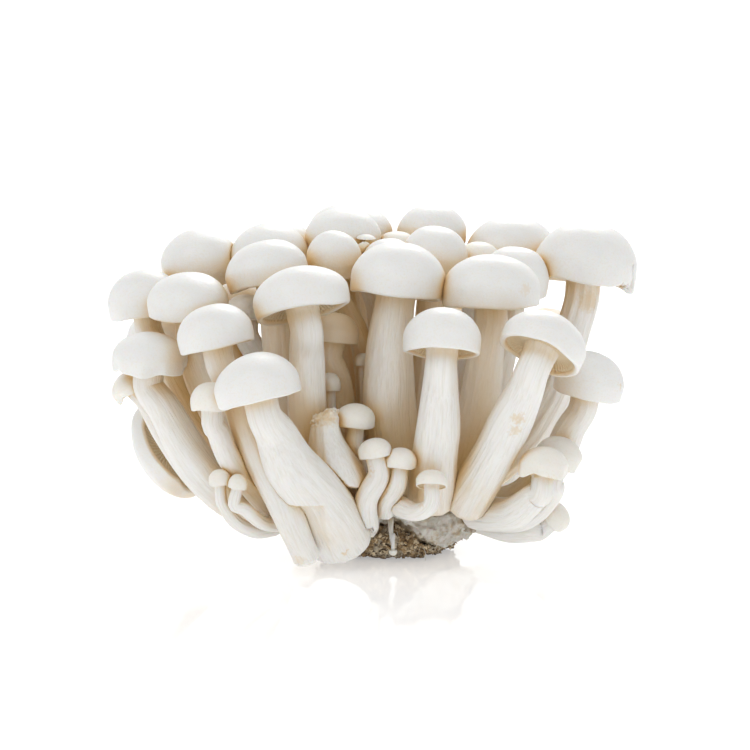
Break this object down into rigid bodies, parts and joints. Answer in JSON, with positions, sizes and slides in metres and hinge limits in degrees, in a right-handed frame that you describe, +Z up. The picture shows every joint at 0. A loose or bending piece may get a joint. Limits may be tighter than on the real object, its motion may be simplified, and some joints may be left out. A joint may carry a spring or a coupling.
{
  "type": "white beech mushroom cluster",
  "caption": "Cluster of white beech mushrooms with domed caps on long curved stems, fanning out from a small plug of sawdust and mycelium with a flat cut face",
  "frame": {"origin": "centre of the plug's flat cut face, which the cluster rests on", "axes": "+Z up along the mushrooms, -Y towards the front of the cluster, +X to its right"},
  "size_m": [0.1279, 0.1207, 0.0821],
  "materials": {
    "flesh": "satin white mushroom skin",
    "young_flesh": "cream skin of young mushrooms",
    "mycelium": "felted grey-white mycelium",
    "sawdust": "damp crumbly sawdust"
  },
  "bodies": {
    "root": {"left_front": "flesh", "front_short": "flesh", "front_centre": "flesh", "front_leaning_right": "flesh", "left_small": "young_flesh", "young_front_upper": "young_flesh", "young_front_middle": "young_flesh", "young_front_right": "young_flesh", "young_front_low": "young_flesh", "pin_left_outer": "young_flesh", "pin_left_inner": "young_flesh", "front_stump": "flesh", "front_tall": "flesh", "left_low": "flesh", "right_young_curled": "young_flesh", "right_young_behind": "young_flesh", "right_lowest": "young_flesh", "right_low": "flesh", "right_tall": "flesh", "right_second": "flesh", "right_outer_tall": "flesh", "right_button": "young_flesh", "right_back": "flesh", "centre_tall": "flesh", "centre_second": "young_flesh", "inner_short": "flesh", "inner_egg": "flesh", "inner_pin_front": "young_flesh", "inner_pin_back": "young_flesh", "centre_left": "flesh", "centre_left_second": "flesh", "centre_left_third": "flesh", "crown_left": "flesh", "crown_left_back": "flesh", "crown_button_left": "young_flesh", "crown_right": "flesh", "crown_button_right": "young_flesh", "crown_back": "flesh", "left_upper": "flesh", "left_outer": "flesh", "left_ragged_young": "young_flesh", "left_drooping": "flesh", "left_back_tall": "flesh", "inner_left": "young_flesh", "back_left_outer": "flesh", "back_left": "flesh", "back_centre_left": "flesh", "back_centre": "flesh", "back_right": "flesh", "back_right_outer": "flesh", "back_low_left": "flesh", "back_low_right": "flesh", "back_young_centre": "young_flesh", "back_young_right": "young_flesh", "mycelium_felt": "mycelium", "sawdust_plug": "sawdust"}
  },
  "joints": []
}
